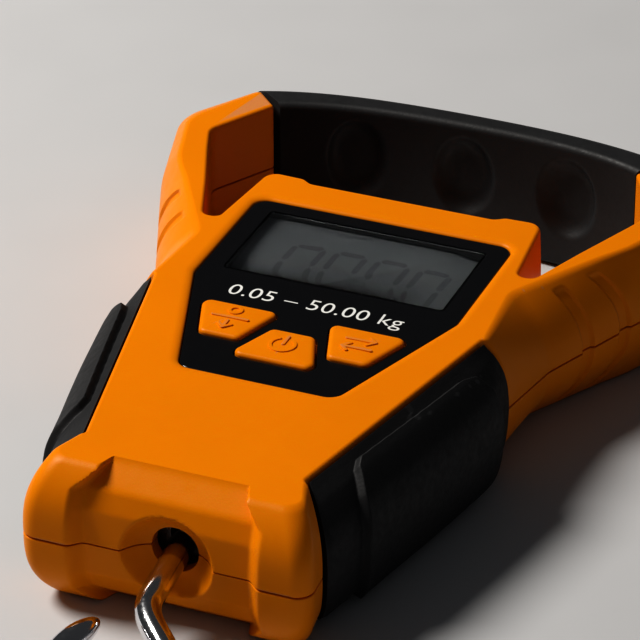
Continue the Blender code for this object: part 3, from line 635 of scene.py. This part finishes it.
def make_front_shell(orange):
    shell = loft("front_case", shell_rings(FRONT, 1), orange)
    cavity = slab("cavity", rounded(mirrored(CAVITY_HALF)), SEAM - 1, CAVITY_TOP)
    tools = [cavity, arm_channel(-1), arm_channel(1), hook_hole(), panel_recess()]
    tools.append(block("window_hole", (-24.3, -13.7, CAVITY_TOP - 1), (24.3, 13.7, PANEL_BOTTOM)))
    for outline in button_outlines().values():
        tools.append(slab("button_hole", inset(outline, -BUTTON_CLEARANCE), CAVITY_TOP - 1, PANEL_BOTTOM))
    combine(shell, tools)
    even_normals(shell)
    stand_for(shell, "case", "orange_plastic", "front_shell")


def refill_back(made):
    """Fills the flat back again in one layer, because cutting leaves it folded, and shades it flat."""
    mesh = bmesh.new()
    mesh.from_mesh(made.data)
    flat = {face for face in mesh.faces if all(abs(corner.co.z) < 0.002 * MM for corner in face.verts)}
    rim = [edge for edge in mesh.edges if sum(face in flat for face in edge.link_faces) == 1]
    bmesh.ops.delete(mesh, geom=list(flat), context="FACES")
    rim = [edge for edge in rim if edge.is_valid and len(edge.link_faces) == 1]
    filling = bmesh.ops.triangle_fill(mesh, use_beauty=True, edges=rim, normal=(0, 0, -1))["geom"]
    faces = [part for part in filling if isinstance(part, bmesh.types.BMFace)]
    mesh.normal_update()
    bmesh.ops.reverse_faces(mesh, faces=[face for face in faces if face.normal.z > 0])
    for face in faces:
        face.smooth = True
    for edge in rim:
        edge.smooth = False
    mesh.to_mesh(made.data)
    mesh.free()


def make_rear_shell(orange):
    shell = loft("rear_case", shell_rings(0.0, -1), orange)
    cavity = slab("cavity", rounded(mirrored(CAVITY_HALF)), CAVITY_FLOOR, SEAM + 1)
    combine(shell, [cavity, arm_channel(-1), arm_channel(1)])
    combine(shell, [slab("bay_block", np.array(BAY_BLOCK), 1.0, BAY_TOP + 1)], "UNION")
    tools = [block("cell_channel", (-7.4, -73.0, 7.0), (7.4, -19.0, BAY_TOP + 2)), hook_hole()]
    for side in (-1, 1):
        low_x = side * BATTERY_X - BAY_HALF_WIDTH
        high_x = low_x + 2 * BAY_HALF_WIDTH
        tools.append(block("battery_bay", (low_x, BAY_LOW_Y, -1), (high_x, BAY_HIGH_Y, BAY_TOP)))
    edge = 0.3
    tools.append(slab("door_recess", door_outline(-edge), -1, DOOR_TOP + edge))
    for x, y in SHELL_SCREWS:
        tools.append(turned("screw_hole", SCREW_HOLE, (x, y, 0.0), (0, 0, 1), sides=40))
    combine(shell, tools)
    refill_back(shell)
    even_normals(shell)
    stand_for(shell, "case", "orange_plastic", "rear_shell")


def door_outline(edge=0.0):
    return inset(outline_of(rectangle(DOOR_HALF_WIDTH, DOOR_LOW_Y, DOOR_HIGH_Y, 1.2)), edge)


def make_door(orange):
    """The battery door, with a rounded patch of grooves for the thumb."""
    door = slab("door_plate", door_outline(), 0.2, DOOR_TOP, orange, edge=0.35)
    tools = []
    for index in range(DOOR_RIDGES):
        y = RIDGE_START_Y + RIDGE_PITCH * index
        tools.append(ridge_cutter(9.5 - 0.12 * (index - DOOR_RIDGES // 2) ** 2, y))
    combine(door, tools)
    even_normals(door)
    stand_for(door, "battery_door", "orange_plastic", "battery_door")


def ridge_cutter(half_width, y):
    """A round-bottomed groove across the door's outer face."""
    turns = np.linspace(0, 2 * math.pi, 17)[:-1]
    rings = []
    ends = ((-half_width, 0.15), (-half_width + 0.5, 0.5), (half_width - 0.5, 0.5), (half_width, 0.15))
    for x, radius in ends:
        rings.append([(x, y + radius * math.cos(turn), 0.12 + radius * math.sin(turn)) for turn in turns])
    return loft("ridge", rings, None)


def make_case_screws(steel):
    for index, (x, y) in enumerate(SHELL_SCREWS, start=1):
        screw = turned(f"case_screw_{index}", CASE_SCREW, (x, y, 0.5), (0, 0, 1), steel, 32)
        arms = []
        for half_x, half_y in ((1.45, 0.32), (0.32, 1.45)):
            arms.append(block("cross", (x - half_x, y - half_y, 0.0), (x + half_x, y + half_y, 1.35)))
        combine(screw, arms)
        stand_for(screw, "case", "steel", f"shell_screw_{index}")


# Front face

def make_panel(black):
    """The glossy face panel. Returns the outline of its window."""
    panel = slab("face_plate", panel_outline(), PANEL_BOTTOM, PANEL_TOP, black, edge=0.18)
    window = outline_of(rectangle(WINDOW_X, -WINDOW_Y, WINDOW_Y, WINDOW_CORNER))
    tools = [slab("hole", window, PANEL_BOTTOM - 1, PANEL_TOP + 1)]
    for outline in button_outlines().values():
        tools.append(slab("hole", inset(outline, -BUTTON_CLEARANCE), PANEL_BOTTOM - 1, PANEL_TOP + 1))
    combine(panel, tools)
    even_normals(panel)
    stand_for(panel, "case", "panel_black", "face_panel")
    return window


def make_window(window, clear):
    pane = slab("window_pane", inset(window, 0.3), PANEL_BOTTOM, PANEL_TOP - 0.05, clear, edge=0.1)
    stand_for(pane, "case", "clear_acrylic", "display_window")


def make_print(white):
    """The capacity range, printed on the panel in plain figures."""
    words = bpy.data.curves.new("capacity_print", "FONT")
    words.body = "0.05 – 50.00 kg"
    words.size, words.extrude = PRINT_SIZE * MM, 0.006 * MM
    words.align_x, words.align_y = "CENTER", "CENTER"
    words.space_character = 1.05
    words.materials.append(white)
    made = bpy.data.objects.new("capacity_print", words)
    made.location = Vector((PRINT_X, PRINT_Y, PANEL_TOP + 0.014)) * MM
    bpy.context.scene.collection.objects.link(made)
    stand_for(made, "case", "panel_black")


def button_body(name, outline, orange):
    """A button: a flange under the panel, straight sides and a pillowed top."""
    centre = outline.mean(axis=0)
    flange = inset(outline, -1.0)
    rings = [at_height(flange, DOME_TOP + 0.3), at_height(flange, CAVITY_TOP - 0.3),
             at_height(outline, CAVITY_TOP - 0.29)]
    for turn in np.linspace(0, math.pi / 2, 8):
        rim = inset(outline, 1 - math.cos(turn))
        rings.append(at_height(rim, BUTTON_TOP - 0.95 + 0.8 * math.sin(turn)))
    top = inset(outline, 1.0)
    for share in (0.85, 0.65, 0.45, 0.25, 0.1):
        rings.append(at_height(centre + (top - centre) * share, BUTTON_TOP - 0.15 + 0.15 * (1 - share ** 2)))
    return loft(name, rings, orange, sharp=40.0)


def stroke(points, half_width, low, high, steps=6):
    """A raised line through the points, with round ends and a rounded top."""
    points = np.array(points, float)
    straight = len(points) == 2
    along = np.repeat(points[1:] - points[:1], 2, axis=0) if straight else np.gradient(points, axis=0)
    along /= np.linalg.norm(along, axis=1, keepdims=True)
    across = np.stack([-along[:, 1], along[:, 0]], axis=1)
    outline = []
    for side, tip, heading in ((1, points[-1], along[-1]), (-1, points[0], -along[0])):
        edge = points + across * half_width * side
        outline.append(edge if side > 0 else edge[::-1])
        beside = np.array((-heading[1], heading[0]))
        turns = np.linspace(math.pi / 2, -math.pi / 2, steps + 1)[1:-1]
        spokes = [beside * math.sin(turn) + heading * math.cos(turn) for turn in turns]
        outline.append([tip + half_width * spoke for spoke in spokes])
    outline = counter_clockwise(np.vstack(outline))
    rings = [at_height(outline, low), at_height(outline, high - 0.12)]
    rings += [at_height(inset(outline, 0.05), high - 0.03), at_height(inset(outline, 0.14), high)]
    return loft("stroke", rings, None)


def circle_points(centre, radius, start, end, steps=24):
    turns = np.radians(np.linspace(start, end, steps + 1))
    return [(centre[0] + radius * math.cos(turn), centre[1] + radius * math.sin(turn)) for turn in turns]


def make_buttons(orange):
    low, high, width = BUTTON_TOP - 0.8, BUTTON_TOP + 0.22, 0.36
    marks = {
        "power_button": [circle_points((0.0, -36.6), 2.35, 125, 415), [(0.0, -33.6), (0.0, -36.4)]],
        # A zero over a bar, and an arrow dropping into a tray: set to zero, and store.
        "tare_button": [
            circle_points((-13.1, -28.2), 1.15, 0, 180), circle_points((-13.1, -28.2), 1.15, 180, 360),
            [(-16.6, -30.9), (-9.6, -30.9)], [(-13.1, -32.2), (-13.1, -34.7)],
            [(-14.4, -33.5), (-13.1, -34.8)], [(-11.8, -33.5), (-13.1, -34.8)],
        ],
        # Two opposed arrows: change the unit.
        "unit_button": [
            [(10.2, -29.6), (15.8, -29.6)], [(14.6, -28.3), (15.9, -29.6)], [(14.6, -30.9), (15.9, -29.6)],
            [(10.4, -32.6), (16.0, -32.6)], [(11.6, -31.3), (10.3, -32.6)], [(11.6, -33.9), (10.3, -32.6)],
        ],
    }
    for name, outline in button_outlines().items():
        button = button_body(name.replace("_button", "_key"), outline, orange)
        combine(button, [stroke(points, width, low, high) for points in marks[name]], "UNION", 40.0)
        even_normals(button)
        stand_for(button, name, "orange_plastic", name)


def segment(x, y, length, upright, slant=0.10, half=0.62):
    """One bar of a digit, pointed at both ends, leaning with the digit."""
    far = length - half
    if upright:
        shape = [(0, 0), (half, half), (half, far), (0, length), (-half, far), (-half, half)]
    else:
        shape = [(0, 0), (half, -half), (far, -half), (length, 0), (far, half), (half, half)]
    return np.array([(x + px + slant * (y + py), y + py) for px, py in shape])


def zero_segments(x, y, width, height):
    """The six bars of a seven-segment zero, clockwise from its top."""
    bar, post = width - 0.5, height / 2 - 0.5
    lower, upper = y + 0.25, y + height / 2 + 0.25
    return [
        segment(x + 0.25, y + height, bar, False), segment(x + width, upper, post, True),
        segment(x + width, lower, post, True), segment(x + 0.25, y, bar, False),
        segment(x, lower, post, True), segment(x, upper, post, True),
    ]


def flat_shapes(name, shapes, low, high, look):
    """Thin plates with those outlines, as one piece."""
    points, faces = [], []
    for shape in shapes:
        shape = counter_clockwise(shape)
        start, count = len(points), len(shape)
        points += [(*point, low) for point in shape] + [(*point, high) for point in shape]
        faces.append([start + index for index in reversed(range(count))])
        faces.append([start + count + index for index in range(count)])
        for index in range(count):
            following = (index + 1) % count
            faces.append([start + index, start + following, start + count + following, start + count + index])
    return piece(name, points, faces, look)


def make_lcd(glass, ghost):
    """The display's glass, with the faint figures that show on it while it is off."""
    pane = block("lcd_pane", (-24.0, -14.0, LCD_BOTTOM), (24.0, 16.6, LCD_TOP), glass, edge=0.15)
    stand_for(pane, "case", "lcd_grey", "lcd_glass")
    shapes = []
    for index in range(DIGITS):
        shapes += zero_segments(DIGIT_X + DIGIT_PITCH * index, DIGIT_Y, DIGIT_WIDTH, DIGIT_HEIGHT)
    shapes.append(np.array(circle_points((1.3, -7.2), 0.7, 0, 345, 12)))
    marks = flat_shapes("lcd_figures", shapes, LCD_TOP + 0.01, LCD_TOP + 0.03, ghost)
    stand_for(marks, "case", "lcd_grey")


# Handle

def handle_inner_y(x):
    """The handle's gently curved inner side."""
    share = x / 39.0
    return 60.9 - 2.6 * share ** 2 - 3.1 * share ** 4


def handle_section(share, stations):
    """One ring across the handle: up its inner side, over its front edge and down its outer side."""
    inner_x = 38.9 * share
    face = np.array((44.1 * share, 65.5 - 3.1 * share ** 2 - 3.2 * share ** 4))
    seam = np.array((52.6 * share, 75.0 - 3.0 * share ** 2 - 3.6 * share ** 4))
    inner = np.array((inner_x, handle_inner_y(inner_x)))
    ring = []
    for z, edge, outside in stations:
        bulge = 1 - abs((z - SEAM) / (FRONT - SEAM)) ** 2.2
        outer = face + (seam - face) * bulge
        across = (outer - inner) / np.linalg.norm(outer - inner)
        if outside:
            groove = 0.22 * math.exp(-((z - SEAM) / 0.28) ** 2)
            point = outer - across * (edge + groove)
        else:
            point = inner + across * (edge + finger_depth(inner_x, z))
        ring.append((*point, z))
    return ring


def finger_depth(x, z):
    """How far the finger hollows sink into the handle's inner side."""
    depth = 0.0
    for index in (-1, 0, 1):
        away = ((x - index * FINGER_PITCH) / FINGER_HALF_X) ** 2 + ((z - FINGER_Z) / FINGER_HALF_Z) ** 2
        depth += FINGER_DEPTH * float(smooth(1.25 - 1.25 * away)) ** 0.6 if away < 1 else 0.0
    return depth


def make_handle(look):
    """The rubber handle, with hollows for three fingers and a tunnel for the core."""
    edge = fillet(HANDLE_EDGE, 7)
    up = [(HANDLE_BACK + drop, inward) for drop, inward in reversed(edge)]
    heights = np.linspace(HANDLE_BACK + HANDLE_EDGE, HANDLE_FRONT - HANDLE_EDGE, 44)
    up += [(z, 0.0) for z in heights[1:-1]]
    up += [(HANDLE_FRONT - drop, inward) for drop, inward in edge]
    stations = [(z, inward, False) for z, inward in up] + [(z, inward, True) for z, inward in reversed(up)]
    rings = [handle_section(share, stations) for share in np.linspace(-1, 1, 150)]
    grip = loft("handle_cover", rings, look, sharp=50.0)
    shares = (0.0, 0.22, 0.44, 0.64, 0.82)
    arc = [(46.0 * share, 69.2 - 3.4 * share ** 2 - 6.2 * share ** 4) for share in shares]
    right = [*arc, *reversed(ARM_END_PATH), CORE_END]
    path = [(-x, y) for x, y in reversed(right[1:])] + right
    tunnel = band(path, [CORE_HALF_WIDTH] * len(path))
    combine(grip, [slab("core_tunnel", tunnel, CORE_BOTTOM, CORE_TOP)], sharp=50.0)
    even_normals(grip)
    stand_for(grip, "case", "black_rubber", "handle_grip")


# Side grips

GRIP_WIDTHS = (         # share of the length, width under the pad
    (0.0, 9.9), (0.06, 9.7), (0.14, 9.2), (0.19, 8.7), (0.30, 8.2), (0.42, 8.1), (0.55, 8.0), (0.68, 7.8),
    (0.80, 7.7), (0.86, 7.4), (0.92, 6.7), (1.0, 5.1),
)
GRIP_SECTION = (        # share of the width, height
    (0.0, 28.7), (0.17, 27.7), (0.42, 26.3), (0.60, 24.8), (0.78, 23.0), (0.93, 20.0), (1.0, 15.6),
    (0.97, 10.6), (0.88, 6.9), (0.73, 4.2), (0.50, 2.3), (0.22, 1.1), (0.0, 0.7),
)
# The raised pad's outline. PAD_TOP holds (share along the grip, share round it), and the ends hold
# (share round the grip, share along it).
PAD_TOP = ((0.0, 0.075), (0.16, 0.085), (0.22, 0.092), (0.78, 0.118), (0.84, 0.15), (1.0, 0.2))
PAD_LOW_END = ((0.0, 0.235), (0.09, 0.225), (0.14, 0.19), (0.30, 0.165), (0.55, 0.15), (1.0, 0.15))
PAD_HIGH_END = ((0.0, 0.79), (0.10, 0.80), (0.16, 0.845), (0.30, 0.87), (1.0, 0.87))
PAD_BOTTOM, PAD_HEIGHT, PAD_EDGE = 0.80, 1.6, 0.014
GRIP_HEADINGS = (-48.0, 15.0)   # which way the grip's sections face at its two ends, in degrees


def spaced(spots, total):
    """total shares from 0 to 1, four times as close round the spots."""
    fine = np.linspace(0, 1, 2001)
    density = 1.0 + 3.0 * sum(np.exp(-((fine - spot) / width) ** 4) for spot, width in spots)
    travel = np.cumsum(density)
    return np.interp(np.linspace(travel[0], travel[-1], total), travel, fine)


def grip_surface(side):
    """The grip's bare surface: stations along it, by points round it from its front to its back."""
    along = GRIP_HIGH - GRIP_LOW
    outward = np.array((along[1], -along[0])) / np.linalg.norm(along)
    stations = spaced(((0.19, 0.06), (0.83, 0.05)), 190)
    fine = spaced(((0.1, 0.05), (PAD_BOTTOM, 0.03)), 120)
    coarse = np.linspace(0, 1, len(GRIP_SECTION))
    share, height = (np.interp(fine, coarse, column) for column in np.array(GRIP_SECTION).T)
    for row in (share, height):
        for _ in range(6):
            row[1:-1] = (row[:-2] + 2 * row[1:-1] + row[2:]) / 4
    widths = np.interp(stations, *np.array(GRIP_WIDTHS).T)
    for _ in range(12):
        widths[1:-1] = (widths[:-2] + widths[1:-1] + widths[2:]) / 3
    widths *= 1 - 0.05 * smooth((0.02 - stations) / 0.02)
    inner = GRIP_LOW + along * (0.007 + 0.986 * stations)[:, None] + outward * 0.5
    heading = np.radians(GRIP_HEADINGS[0] + (GRIP_HEADINGS[1] - GRIP_HEADINGS[0]) * stations)
    reach = widths[:, None] * share
    x = side * (inner[:, :1] + np.cos(heading)[:, None] * reach)
    y = inner[:, 1:] + np.sin(heading)[:, None] * reach
    return np.dstack([x, y, np.broadcast_to(height, x.shape)]), stations, fine


def make_side_grip(side, look):
    """A rubber grip with a raised pad that has crisp edges."""
    surface, stations, fine = grip_surface(side)
    normal = np.cross(np.gradient(surface, axis=1), np.gradient(surface, axis=0)) * side
    normal /= np.linalg.norm(normal, axis=2, keepdims=True)
    station, place = np.meshgrid(stations, fine, indexing="ij")
    top = np.interp(station, *np.array(PAD_TOP).T)
    low_end, high_end = (np.interp(place, *np.array(row).T) for row in (PAD_LOW_END, PAD_HIGH_END))
    pad = smooth((place - top) / 0.012) * smooth((station - low_end) / PAD_EDGE)
    pad *= smooth((high_end - station) / PAD_EDGE) * smooth((PAD_BOTTOM - place) / 0.02)
    surface = surface + normal * (pad * PAD_HEIGHT)[:, :, None]
    hand = "left" if side < 0 else "right"
    grip = loft(f"{hand}_grip_pad", surface, look, sharp=50.0)
    even_normals(grip)
    stand_for(grip, "case", "black_rubber", f"{hand}_side_grip")


# Hook

def hook_line():
    """Points (sideways, along, radius) of the hook's middle line from its threaded end."""
    line = [(0, along, NECK_RADIUS) for along in np.linspace(-8.6, 1.8, 6)]
    line += [(0, along, ROD_RADIUS) for along in (2.3, 5, 8, 11, 14, BEND_START)]
    for share in np.linspace(0, 1, 25)[1:-1]:
        ease = share ** 3 * (10 - 15 * share + 6 * share ** 2)
        line.append((BEND_RADIUS * ease, BEND_START + (BEND_CENTRE - BEND_START) * share, ROD_RADIUS))
    for step in range(41):
        turn = math.radians(BEND_ANGLE) * step / 40
        line.append((BEND_RADIUS * math.cos(turn), BEND_CENTRE + BEND_RADIUS * math.sin(turn), ROD_RADIUS))
    end_x, end_along, _ = line[-1]
    heading = np.array((line[-1][0] - line[-2][0], line[-1][1] - line[-2][1]))
    heading /= np.linalg.norm(heading)
    for run in np.linspace(0.6, 6.2, 10):
        radius = ROD_RADIUS * math.sqrt(max(0.02, 1 - (run / 6.4) ** 1.7))
        line.append((end_x + heading[0] * run, end_along + heading[1] * run, radius))
    return np.array(line)


def make_hook(chrome, sides=40):
    """The polished hook: a round rod swept along its middle line, then tilted into place."""
    line = hook_line()
    middles = np.column_stack([line[:, 0], -line[:, 1], np.zeros(len(line))])
    along = np.gradient(middles, axis=0)
    along /= np.linalg.norm(along, axis=1, keepdims=True)
    beside = np.stack([along[:, 1], -along[:, 0], np.zeros(len(line))], axis=1)
    turns = np.arange(sides) * 2 * math.pi / sides
    rings = []
    for middle, direction, radius in zip(middles, beside, line[:, 2]):
        circle = np.cos(turns)[:, None] * direction + np.sin(turns)[:, None] * (0, 0, 1)
        rings.append(middle + radius * circle)
    tilt = Matrix.Rotation(math.radians(HOOK_TILT), 4, "X")
    pose = np.array(Matrix.Translation((0, HOOK_PIVOT_Y, HOOK_AXIS_Z)) @ tilt)
    rings = [ring @ pose[:3, :3].T + pose[:3, 3] for ring in rings]
    hook = loft("hook_rod", rings, chrome, sharp=40.0)
    stand_for(hook, "hook", "polished_steel", "hook")


# CAD nodes that keep their own shape

def dress(looks):
    """Gives each material to its CAD nodes."""
    for look, nodes in looks.items():
        for name in nodes:
            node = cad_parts[name]
            node.data.materials.clear()
            node.data.materials.append(look)


# Stage

def add_stage():
    corners = [(x * FLOOR_HALF_SIZE, y * FLOOR_HALF_SIZE, 0) for x, y in ((-1, -1), (1, -1), (1, 1), (-1, 1))]
    floor = piece("floor", corners, [(0, 1, 2, 3)], None)
    look = Look("studio_floor")
    look.colour(look.mix(look.noise(300.0, 3.0), (0.55, 0.55, 0.56), (0.57, 0.57, 0.58)))
    look.rough(look.spread(look.noise(20.0, 3.0), 0.3, 0.7, 0.55, 0.65))
    look.bump(look.noise(2.0, 3.0), 0.008)
    floor.data.materials.append(look.material)


def area_light(name, place, target, size, power, tint):
    light = bpy.data.lights.new(name, "AREA")
    light.shape, light.size, light.energy, light.color = "DISK", size, power, tint
    aimed(name, light, place, target)


def add_lights():
    world = bpy.data.worlds.new("studio")
    world.use_nodes = True
    backdrop = world.node_tree.nodes["Background"]
    backdrop.inputs["Color"].default_value = SKY_COLOUR
    backdrop.inputs["Strength"].default_value = SKY_STRENGTH
    bpy.context.scene.world = world
    area_light("key", *KEY_LIGHT)
    area_light("fill", *FILL_LIGHT)
    bpy.context.scene.view_settings.view_transform = "Standard"
    bpy.context.scene.view_settings.look = "High Contrast"


def main():
    add_camera()
    # The orange's paler sharp edges are partly wear and partly a painted highlight.
    orange = plastic("orange_shell", (0.78, 0.245, 0.0), 0.36, wear_and_highlight=0.3, Specular_IOR_Level=0.12,
                     Subsurface_Weight=0.06, Subsurface_Radius=(1.6, 0.3, 0.02), Subsurface_Scale=MM)
    black = plastic("panel_gloss", (0.006, 0.006, 0.007), 0.16, grain=0.003, Coat_Weight=0.3)
    grip = rubber("grip_rubber", (0.016, 0.016, 0.017))
    soft = rubber("handle_rubber", (0.020, 0.020, 0.021), 0.55)
    dark = plastic("dark_nylon", (0.02, 0.02, 0.022), 0.45, grain=0.03)
    clear = clear_look()
    glass = plastic("lcd_glass_grey", (0.20, 0.21, 0.22), 0.14, grain=0.001)
    ghost = plastic("lcd_ghost_figures", (0.15, 0.155, 0.165), 0.2, grain=0.001)
    white = plastic("white_print", (0.78, 0.78, 0.76), 0.5, grain=0.004)
    pale = plastic("backlight_diffuser", (0.78, 0.80, 0.80), 0.5)
    silicone = rubber("keypad_silicone_grey", (0.42, 0.42, 0.40), 0.6)
    steel = metal("zinc_steel", (0.50, 0.50, 0.51), 0.32)
    chrome = metal("hook_steel", (0.78, 0.78, 0.80), 0.12, grain=0.002)
    brass = metal("washer_brass", (0.70, 0.48, 0.20), 0.26)
    aluminium = metal("cell_aluminium", (0.66, 0.67, 0.69), 0.33, (1.0, 0.05, 1.0), 0.01)
    green, sleeve = board_look(), battery_look()
    make_front_shell(orange)
    make_rear_shell(orange)
    make_door(orange)
    make_case_screws(steel)
    make_window(make_panel(black), clear)
    make_print(white)
    make_buttons(orange)
    make_lcd(glass, ghost)
    make_handle(soft)
    make_side_grip(-1, grip)
    make_side_grip(1, grip)
    make_hook(chrome)
    dress({
        dark: ("handle_core", "controller_chip"), grip: ("display_gasket", "zebra_strip"),
        pale: ("lcd_backlight", "gauge_potting"), silicone: ("keypad_sheet",), green: ("circuit_board",),
        steel: ("carrying_frame", "core_screw_left", "core_screw_right", "cell_screw_1", "cell_screw_2",
                "hook_nut", "battery_spring_1", "battery_spring_2", "battery_contact_1", "battery_contact_2"),
        brass: ("swivel_washer",), aluminium: ("load_cell",), sleeve: ("battery_1", "battery_2"),
    })
    add_stage()
    add_lights()


main()
